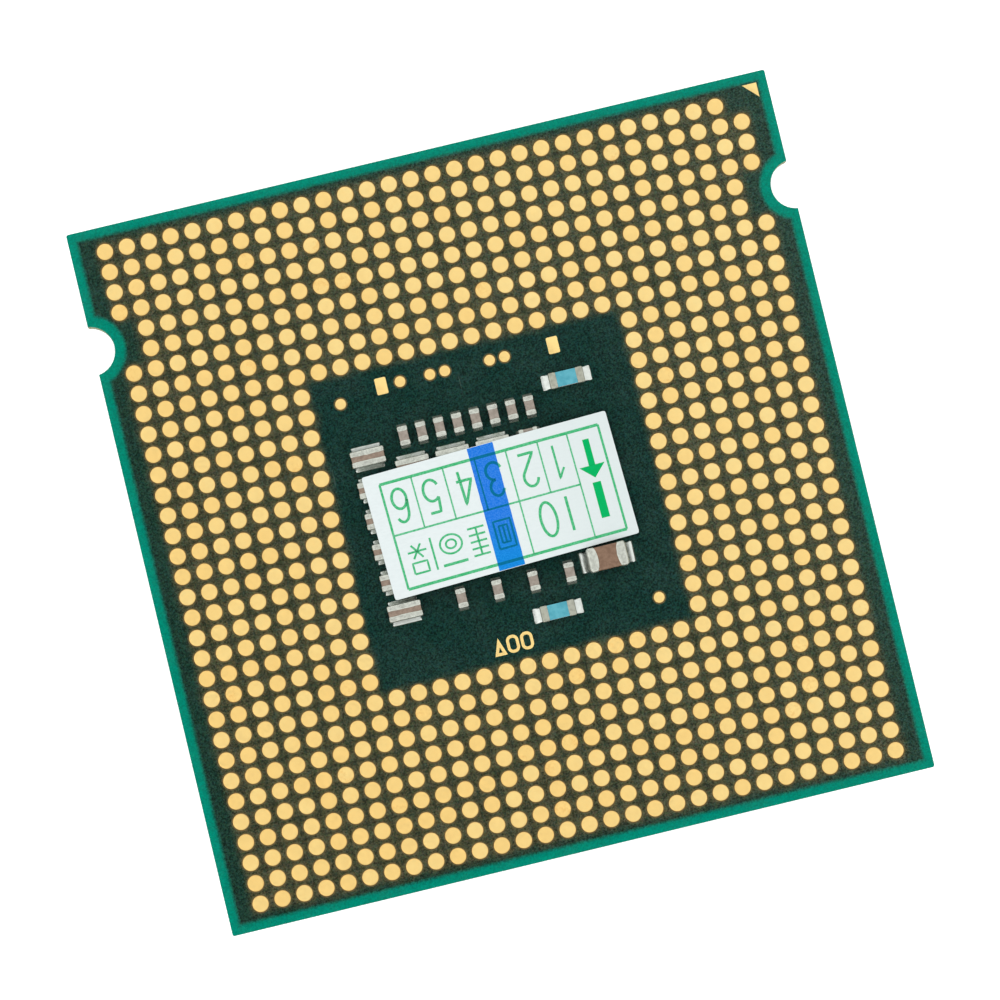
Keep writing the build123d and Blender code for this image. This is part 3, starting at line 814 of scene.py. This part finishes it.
class Chip:
    """One chip part in its own axes: X from end to end, Z up from the board."""

    def __init__(self, body_low, body_high, kind, along_y):
        plating = Vector((PLATING, PLATING, PLATING))
        low, high = body_low - plating, body_high + plating
        self.centre = ((low.x + high.x) / 2, (low.y + high.y) / 2)
        self.board = low.z
        across_x, across_y = high.x - low.x, high.y - low.y
        self.length, self.width = (across_y, across_x) if along_y else (across_x, across_y)
        self.height = high.z - low.z
        self.kind = kind
        self.along_y = along_y
        self.phase = self.centre[0] * 7.3 + self.centre[1] * 3.1

    def place(self, shape):
        verts, faces = shape
        cx, cy = self.centre
        if self.along_y:
            return [(cx - y, cy + x, self.board + z) for x, y, z in verts], faces
        return [(cx + x, cy + y, self.board + z) for x, y, z in verts], faces

    def uneven(self, point, size, reach):
        """A small push along a smooth random field, the same on every run."""
        x, y, z = point
        at = Vector((x / reach + self.phase, y / reach, z / reach + 2 * self.phase))
        push = noise.noise_vector(at) * size
        return x + push.x, y + push.y, z + push.z

    def body(self):
        """The fired ceramic block, with softened edges and a faintly uneven skin."""
        half = self.length / 2 - PLATING - self.kind.ease
        width = self.width - 2 * PLATING
        height = self.height - 2 * PLATING
        ease = BODY_EASE
        start = ease - half
        steps = [(-half, ease), (0.4 * ease - half, 0.3 * ease), (start, 0.0)]
        spans = max(4, round(2 * half / 0.12))
        steps += [(start - 2 * start * k / spans, 0.0) for k in range(1, spans)]
        steps += [(-x, inset) for x, inset in reversed(steps[:3])]
        sections = []
        for x, inset in steps:
            loop = rounded_loop(width - 2 * inset, height - 2 * inset, ease)
            section = [(x, y, z + self.height / 2) for y, z in loop]
            sections.append([self.uneven(point, 0.004, 0.25) for point in section])
        return self.place(lofted(sections))

    def terminal(self, side):
        """One metal end cap, dipped on, so it bulges a little and its inner edge wanders."""
        kind = self.kind
        ease = kind.ease
        corner = min(ease, END_CAP_CORNER)
        outer = self.length / 2
        inner = outer - kind.band
        steps = [
            (outer, 1.6 * ease, 0.0),
            (outer - 0.25 * ease, 0.7 * ease, 0.0),
            (outer - 0.6 * ease, 0.25 * ease, 0.0),
            (outer - ease, 0.0, 0.0),
            (outer - 0.35 * kind.band, -0.004, 0.2),
            (outer - 0.65 * kind.band, -0.002, 0.6),
            (inner + END_CAP_EDGE, 0.002, 1.0),
            (inner + 0.3 * END_CAP_EDGE, 0.008, 1.0),
            (inner, PLATING + 0.006, 1.0),
        ]
        top = self.height - 0.001
        sections = []
        for x, inset, edge_share in steps:
            loop = rounded_loop(self.width - 2 * inset, self.height - 2 * inset, corner, along=8)
            section = []
            for y, z in loop:
                across = min(1.0, abs(y) / (self.width / 2))
                upright = min(1.0, abs(z) / (self.height / 2))
                bulge = kind.curve * (1 - across**2) * (upright > 0.9)
                drift = noise.noise(Vector((y * 5 + self.phase, z * 5, side * 3.0))) * 0.02
                point = (x - edge_share * (bulge + drift), y, z + self.height / 2)
                section.append(self.uneven(point, 0.004, 0.22))
            sections.append([(side * px, side * py, min(top, max(0.0, pz))) for px, py, pz in section])
        return self.place(lofted(sections))

    def fillet(self, side):
        """Solder drawn up the end cap: a hollow slope that runs out into a thin bright foot."""
        kind = self.kind
        half = self.width / 2 - kind.inset + SOLDER_OVERLAP
        start = self.length / 2 - SOLDER_OVERLAP
        climb = kind.climb * self.height
        rows, columns = 12, 16
        slope = []
        for i in range(columns + 1):
            across = -1 + 2 * i / columns
            at_side = i in (0, columns)
            y = half * math.copysign(1 - (1 - abs(across)) ** 1.5, across)
            fall = max(0.0, 1 - abs(across) ** 6)
            lift = 0.0 if at_side else climb * (0.35 + 0.65 * fall**0.7)
            wander = 1 + 0.05 * noise.noise(Vector((across * 2 + self.phase, side * 2.0, 0.5)))
            reach = kind.reach * (0.93 + 0.07 * fall) * wander
            row = []
            for k in range(rows + 1):
                share = (k / rows) ** 1.4
                foot = 0.0 if at_side else SOLDER_FOOT * (1 - share**6) ** 0.5
                z = max(lift * (1 - share) ** kind.hollow, foot)
                row.append((side * (start + reach * share), side * y, z))
            slope.append(row)
        on_board = [[(x, y, 0.0) for x, y, _ in row] for row in slope]
        return self.place(closed_sheet(slope, on_board))


def chips_of(nodes, kind, along_y):
    """The chip parts that stand at these nodes, by node name."""
    return {node: Chip(*node_box_mm(node), kind, along_y) for node in nodes}


def row_of_chips(stem, count, kind):
    """A numbered row of chip parts that stand along Y."""
    return chips_of([f"{stem}_{i}" for i in range(1, count + 1)], kind, True)


def make_bodies(chips, material):
    for node, chip in chips.items():
        add_piece(node + "_ceramic", chip.body(), material, [node])


def make_terminals(name, node, chips, material):
    caps = join_shapes(chip.terminal(side) for chip in chips for side in (-1, 1))
    add_piece(name, caps, material, [node], sharp_angle=70)


def make_chips():
    north = row_of_chips("cap_north", 8, SMALL)
    south = row_of_chips("cap_south", 4, SMALL)
    west = row_of_chips("cap_west", 6, WIDE)
    centre = row_of_chips("cap_centre", 3, WIDE)
    cross = chips_of(["cap_cross"], SMALL, False)
    bulk = chips_of(["cap_bulk"], BULK, False)
    resistors = chips_of(["resistor_upper", "resistor_lower"], RESISTOR, False)
    hidden = [Chip(low, high, WIDE, True) for low, high in separate_solids("caps_under_label")]

    pink = ceramic_material("capacitor_ceramic", (160, 150, 139), (138, 128, 117), 0.50)
    tan = ceramic_material("wide_capacitor_ceramic", (152, 134, 118), (128, 110, 96), 0.50)
    brown = ceramic_material("bulk_ceramic", (137, 109, 88), (116, 89, 70), 0.45)
    alumina = ceramic_material("resistor_alumina", (226, 228, 222), (206, 208, 202), 0.55)
    make_bodies({**north, **south, **cross}, pink)
    make_bodies({**west, **centre}, tan)
    make_bodies(bulk, brown)
    make_bodies(resistors, alumina)
    dress(tan, "caps_under_label")
    dress(glaze_material(), "resistor_glaze")

    tin = tin_material("end_cap_tin", (212, 216, 206), (188, 191, 181), 0.46)
    resistor_tin = tin_material("resistor_band", (186, 188, 174), (164, 166, 152), 0.50)
    inner = [*centre.values(), *hidden, *cross.values()]
    groups = {
        "north": north.values(),
        "south": south.values(),
        "west": west.values(),
        "centre": inner,
        "bulk": bulk.values(),
    }
    for group, chips in groups.items():
        make_terminals("end_caps_" + group, "cap_terminals_" + group, chips, tin)
    make_terminals("resistor_end_bands", "resistor_terminals", resistors.values(), resistor_tin)

    solder = tin_material("solder", (222, 228, 222), (204, 209, 203), 0.38)
    every = [chip for chips in groups.values() for chip in chips] + list(resistors.values())
    fillets = join_shapes(chip.fillet(side) for chip in every for side in (-1, 1))
    add_piece("solder_drawn_up", fillets, solder, ["solder_fillets"], sharp_angle=60)
    # painted shade: the solder on the pads is a far darker copy of the solder, standing in for the shade
    # under the chip parts
    dress(tin_material("pad_solder_painted_shade", (104, 110, 102), (84, 90, 82), 0.50), "component_pads")


# ==== The label and its print ====
def label_centre_mm():
    low, high = node_box_mm("warranty_label")
    return (low + high) / 2 + Vector(LABEL_NUDGE)


def gathered(t):
    """A place from -1 to 1, moved so that even steps gather towards both ends."""
    return math.copysign(1 - (1 - abs(t)) ** 1.25, t)


def round_corner(u, v):
    """A place on the film, pulled in where it would lie outside a rounded corner."""
    flat_u, flat_v = LABEL_LENGTH / 2 - LABEL_CORNER, LABEL_WIDTH / 2 - LABEL_CORNER
    over_u, over_v = abs(u) - flat_u, abs(v) - flat_v
    if over_u <= 0 or over_v <= 0:
        return u, v
    squeeze = max(over_u, over_v) / math.hypot(over_u, over_v)
    return math.copysign(flat_u + over_u * squeeze, u), math.copysign(flat_v + over_v * squeeze, v)


def resampled(path):
    """The same path with extra points, so that a stroke follows the film's droop."""
    points = [path[0]]
    for (au, av), (bu, bv) in zip(path, path[1:]):
        steps = max(1, math.ceil(math.hypot(bu - au, bv - av) / STROKE_SPACING))
        points += [(au + (bu - au) * k / steps, av + (bv - av) * k / steps) for k in range(1, steps + 1)]
    return points


class Label:
    """The film's own axes: U along its length and V across it, from its centre."""

    def __init__(self):
        self.centre = label_centre_mm()
        self.underside = node_box_mm("warranty_label")[0].z

    def droop(self, u, v):
        """How far the film sinks past the chip parts that hold it up, and its slight waves."""
        sink = LABEL_DROOP * smooth_step(LABEL_DROOP_START, LABEL_LENGTH / 2, u)
        lift = 0.05 * smooth_step(2.0, LABEL_WIDTH / 2, -v) * smooth_step(-3.0, -LABEL_LENGTH / 2, u)
        wave = 0.012 * math.sin(1.9 * u + 0.6) * math.cos(1.3 * v)
        crease = 0.02 * math.exp(-((u - 2.1 - 0.05 * v) / 0.25) ** 2)
        return -sink + lift + wave + crease - LABEL_SETTLE

    def point(self, u, v, above):
        """A place above the film's underside, in the row's frame."""
        cos, sin = math.cos(LABEL_TURN), math.sin(LABEL_TURN)
        x = self.centre.x + u * cos - v * sin
        y = self.centre.y + u * sin + v * cos
        return x, y, self.underside + self.droop(u, v) + above

    def film(self):
        """The film as a thin closed sheet with rounded corners."""
        across, along = 24, 44
        half_u, half_v = LABEL_LENGTH / 2, LABEL_WIDTH / 2
        places = [
            [
                round_corner(gathered(2 * i / along - 1) * half_u, gathered(2 * k / across - 1) * half_v)
                for k in range(across + 1)
            ]
            for i in range(along + 1)
        ]
        faces = [
            [[self.point(u, v, above) for u, v in row] for row in places]
            for above in (LABEL_THICKNESS, 0.0)
        ]
        return closed_sheet(*faces)

    def ribbon(self, path, width):
        """An inked stroke of even width along a path, laid on the film, with square ends."""
        above = LABEL_THICKNESS + INK_LIFT
        points = resampled(path)
        grid = []
        for i, (u, v) in enumerate(points):
            before, after = points[max(0, i - 1)], points[min(len(points) - 1, i + 1)]
            du, dv = after[0] - before[0], after[1] - before[1]
            size = math.hypot(du, dv) or 1.0
            nu, nv = -dv / size * width / 2, du / size * width / 2
            grid.append([self.point(u + nu, v + nv, above), self.point(u - nu, v - nv, above)])
        return inked(grid)

    def arrow_head(self):
        """The arrow's solid head."""
        above = LABEL_THICKNESS + INK_LIFT
        rows = 6
        grid = []
        for k in range(rows + 1):
            share = k / rows
            v = ARROW_BASE + (ARROW_TIP - ARROW_BASE) * share
            reach = max(0.01, ARROW_HALF * (1 - share))
            grid.append([self.point(ARROW_CENTRE + turn * reach, v, above) for turn in (-1, 1)])
        return inked(grid)

    def stripe(self):
        """The marker stripe: a thin coloured layer across the film's whole width."""
        rows, columns = 40, 8
        low, high = STRIPE_MARGIN - LABEL_WIDTH / 2, LABEL_WIDTH / 2 - STRIPE_MARGIN
        grid = []
        for i in range(rows + 1):
            v = low + (high - low) * i / rows
            left, right = (
                edge + STRIPE_SKEW * v + STRIPE_WANDER * noise.noise(Vector((v * 3.0, offset, 0.0)))
                for edge, offset in ((STRIPE_LEFT, 1.0), (STRIPE_RIGHT, 5.0))
            )
            places = [left + (right - left) * k / columns for k in range(columns + 1)]
            grid.append([self.point(u, v, LABEL_THICKNESS + STRIPE_LIFT) for u in places])
        return sheet(grid)


def arc(cx, cy, rx, ry, start=0, end=360, steps=14):
    """Points along an ellipse, from one angle to another in degrees."""
    angles = [math.radians(start + (end - start) * k / steps) for k in range(steps + 1)]
    return [(cx + rx * math.cos(a), cy + ry * math.sin(a)) for a in angles]


# Each numeral is one thin stroke, drawn upright in a box one wide and one high.
NUMERALS = {
    1: [(0.20, 0.70), (0.44, 0.86), (0.60, 1.00), (0.60, 0.0)],
    2: arc(0.50, 0.73, 0.45, 0.27, 168, -30) + [(0.04, 0.02), (1.0, 0.02)],
    3: arc(0.48, 0.76, 0.42, 0.24, 165, -90) + arc(0.46, 0.26, 0.50, 0.26, 88, -165),
    4: [(1.0, 0.29), (0.02, 0.29), (0.70, 1.0), (0.76, 0.0)],
    5: [(0.86, 0.98), (0.20, 0.98), (0.12, 0.56)] + arc(0.48, 0.32, 0.50, 0.32, 132, -155, 18),
    6: arc(0.52, 0.68, 0.42, 0.32, 35, 170) + [(0.04, 0.36)] + arc(0.50, 0.30, 0.46, 0.30, 172, -188, 22),
}


def boxed_between(left, low, right, high):
    """A closed rectangle as one path."""
    return [(left, low), (right, low), (right, high), (left, high), (left, low)]


def boxed(cu, cv, width, height):
    """A closed rectangle around a middle, as one path."""
    return boxed_between(cu - width / 2, cv - height / 2, cu + width / 2, cv + height / 2)


def frame_lines():
    """The print's heavy outline, as (path, stroke width)."""
    path = boxed_between(FRAME_LEFT, FRAME_LOW, FRAME_RIGHT, FRAME_HIGH)
    return list(zip(zip(path, path[1:]), [LONG_BORDER_INK, BORDER_INK] * 2))


def divider_lines():
    """The thin rules between the cells."""
    lines = [([(u, MIDDLE_LINE), (u, FRAME_HIGH)], RULE_INK) for u in UPPER_DIVIDERS]
    lines.append(([(FULL_DIVIDER, FRAME_LOW), (FULL_DIVIDER, FRAME_HIGH)], RULE_INK))
    lines.append(([(LOWER_DIVIDER, FRAME_LOW), (LOWER_DIVIDER, MIDDLE_LINE)], RULE_INK))
    lines.append(([(FRAME_LEFT, MIDDLE_LINE), (FULL_DIVIDER, MIDDLE_LINE)], MIDDLE_INK))
    return lines


def numeral_lines():
    """The numerals one to six, upside down as the label lies."""
    lines = []
    for digit, centre in NUMERAL_CENTRES.items():
        path = [
            (centre - (x - 0.5) * NUMERAL_WIDTH, NUMERAL_CENTRE_V - (y - 0.5) * NUMERAL_HEIGHT)
            for x, y in NUMERALS[digit]
        ]
        lines.append((path, THIN_NUMERAL_INK if digit == 1 else NUMERAL_INK))
    return lines


def filler_lines():
    """Plain marks that fill the lower cells: boxes, bars, a star and rings, which spell nothing."""
    v = MARKS_CENTRE_V
    star, bar, rings, ladder, boxes, oval, stroke = -4.82, -4.02, -3.02, -1.58, -0.18, 2.23, 3.36
    marks = [boxed(star, v - 0.52, 0.78, 0.56)]
    for angle in (0, 60, 120):
        du = 0.50 * math.cos(math.radians(angle))
        dv = 0.42 * math.sin(math.radians(angle))
        marks.append([(star - du, v + 0.34 - dv), (star + du, v + 0.34 + dv)])
    marks.append([(bar, v - 0.88), (bar, v + 0.84)])
    marks.append(arc(rings, v + 0.24, 0.58, 0.50, steps=24))
    marks.append(arc(rings, v + 0.24, 0.27, 0.23, steps=18))
    for k in range(5):
        rung = v - 0.72 + 0.36 * k
        marks.append([(ladder - 0.44, rung), (ladder + 0.44, rung)])
    marks.append([(ladder, v - 0.72), (ladder, v + 0.72)])
    marks.append(boxed(boxes, v, 0.90, 1.46))
    marks.append(boxed(boxes, v, 0.44, 0.90))
    marks.append([(boxes, v - 0.45), (boxes, v + 0.45)])
    heavy = [
        [(rings - 0.66, v - 0.78), (rings + 0.66, v - 0.78)],
        arc(oval, v + 0.10, 0.42, 0.90, steps=30),
        [(stroke, v - 0.80), (stroke, v + 1.02)],
    ]
    return [(path, MARK_INK) for path in marks] + [(path, NUMERAL_INK) for path in heavy]


def make_label():
    label = Label()
    add_piece("label_film_sheet", label.film(), film_material(), ["warranty_label"], 50)
    add_piece("label_marker_stripe", label.stripe(), stripe_material())
    rule = ink_material("print_green_rule", (62, 172, 114), (136, 206, 168))
    thin = ink_material("print_green", (48, 170, 104), (114, 197, 154))
    bold = ink_material("print_green_bold", (0, 170, 90), (0, 178, 100))
    print_layers = [
        ("label_dividers", rule, divider_lines(), []),
        ("label_frame", thin, frame_lines(), []),
        ("label_numerals_and_marks", thin, numeral_lines() + filler_lines(), []),
        ("label_bold_marks", bold, BOLD_LINES, [label.arrow_head()]),
    ]
    for name, ink, lines, solid_marks in print_layers:
        strokes = [label.ribbon(path, width) for path, width in lines]
        add_piece(name, join_shapes(strokes + solid_marks), ink, flat=True)


# ==== Substrate and lid ====
def level_normals(mesh, sharp_angle):
    """Corner normals led by the large flat faces, so that a flat face beside a rounded edge stays even."""
    limit = math.cos(math.radians(sharp_angle))
    around = [[] for _ in mesh.vertices]
    for face in mesh.polygons:
        for corner in face.vertices:
            around[corner].append((face.normal.copy(), face.area))
    normals = []
    for face in mesh.polygons:
        for corner in face.vertices:
            total = Vector()
            for normal, area in around[corner]:
                if normal.dot(face.normal) > limit:
                    total += normal * area
            normals.append(total.normalized())
    mesh.normals_split_custom_set(normals)


def make_substrate():
    dress(mask_material(), "solder_mask_land_side", "solder_mask_die_side")
    dress(laminate_material(), "core_laminate")
    build_up = build_up_material()
    copper = plain_material("copper", (184, 112, 78), (214, 142, 104), 0.35, 1.0)
    for side in ("land_side", "die_side"):
        dress(build_up, "inner_ply_" + side, "outer_ply_" + side)
        dress(copper, "copper_plane_" + side)


def make_lid():
    """The heat spreader in its own shape, evenly shaded, and everything that it covers."""
    lid = whole_faced_copy("heat_spreader", 0.5)
    level_normals(lid, 35)
    ride_with("heat_spreader_evened", lid, nickel_material(), ["heat_spreader"])
    dress(sealant_material(), "lid_sealant")
    dress(plain_material("silicon", (52, 54, 62), (74, 76, 84), 0.12, 0.3), "silicon_die")
    dress(plain_material("underfill", (36, 32, 28), (58, 52, 46), 0.4), "underfill")
    dress(plain_material("bump_solder", (190, 190, 186), (216, 216, 212), 0.3, 1.0), "solder_bumps")
    dress(plain_material("thermal_compound", (150, 152, 156), (176, 178, 180), 0.6), "thermal_interface")


# ==== Floor, light and camera ====
def make_floor():
    half = FLOOR_HALF * MM
    mesh = bpy.data.meshes.new("floor")
    corners = [(-half, -half, 0.0), (half, -half, 0.0), (half, half, 0.0), (-half, half, 0.0)]
    mesh.from_pydata(corners, [], [(0, 1, 2, 3)])
    paper = Surface("floor_paper", (248, 248, 247), 0.8, specular=0.2)
    paper.shader.inputs["Emission Color"].default_value = (1, 1, 1, 1)
    paper.shader.inputs["Emission Strength"].default_value = FLOOR_GLOW
    mesh.materials.append(paper.material)
    placed(mesh, "floor")


def make_sky():
    """Soft studio light from everywhere but straight above, where the dark ceiling shows in flat gloss."""
    world = bpy.data.worlds.new("studio")
    bpy.context.scene.world = world
    world.use_nodes = True
    n = Nodes(world.node_tree)
    direction = n.new("ShaderNodeTexCoord", "Generated")
    height = n.new("ShaderNodeSeparateXYZ", "Z", {0: direction})
    dome = n.step(height, 0.0, SKY_FULL_AT, SKY_LOW, SKY_HIGH)
    towards = {0: direction, 1: Vector(CEILING_AT).normalized()}
    closeness = n.new("ShaderNodeVectorMath", "Value", towards, operation="DOT_PRODUCT")
    outer, inner = (math.cos(math.radians(angle)) for angle in (CEILING_OUTER, CEILING_INNER))
    ceiling = n.step(closeness, outer, inner, 1.0, CEILING_SHADE)
    background = world.node_tree.nodes["Background"]
    n.put(background.inputs["Strength"], n.times(dome, ceiling))
    n.put(background.inputs["Color"], (255, 255, 255))


def make_lamp(name, place, size, watts):
    """A square soft box that faces the object."""
    data = bpy.data.lights.new(name, "AREA")
    data.shape = "SQUARE"
    data.size = size * MM
    data.energy = watts
    lamp = placed(data, name)
    lamp.location = Vector(place) * MM
    lamp.rotation_euler = (-lamp.location).to_track_quat("-Z", "Y").to_euler()


def make_camera():
    """Nearly straight down, turned so that the package lies askew in the picture."""
    tilt = math.radians(CAMERA_TILT)
    towards = math.radians(CAMERA_TILT_TOWARDS)
    roll = math.radians(CAMERA_ROLL)
    sideways = math.sin(tilt)
    back = Vector((sideways * math.cos(towards), sideways * math.sin(towards), math.cos(tilt)))
    right = Vector((math.sin(roll), math.cos(roll), 0.0)).cross(back).normalized()
    turn = Matrix((right, back.cross(right), back)).transposed().to_4x4()
    data = bpy.data.cameras.new("camera")
    data.sensor_width = SENSOR
    data.lens = CAMERA_LENS
    data.clip_start = 0.01
    camera = placed(data, "camera")
    aim = Vector((AIM_X, AIM_Y, LAND_PLANE)) * MM
    camera.matrix_world = Matrix.Translation(aim + back * CAMERA_DISTANCE * MM) @ turn
    bpy.context.scene.camera = camera


make_camera()
make_floor()
make_sky()
make_lamp("soft_box_left", (-240, -160, 300), 260, 0.12)
make_substrate()
make_lid()
make_lands()
make_chips()
make_label()

bpy.context.scene.view_settings.view_transform = "Standard"
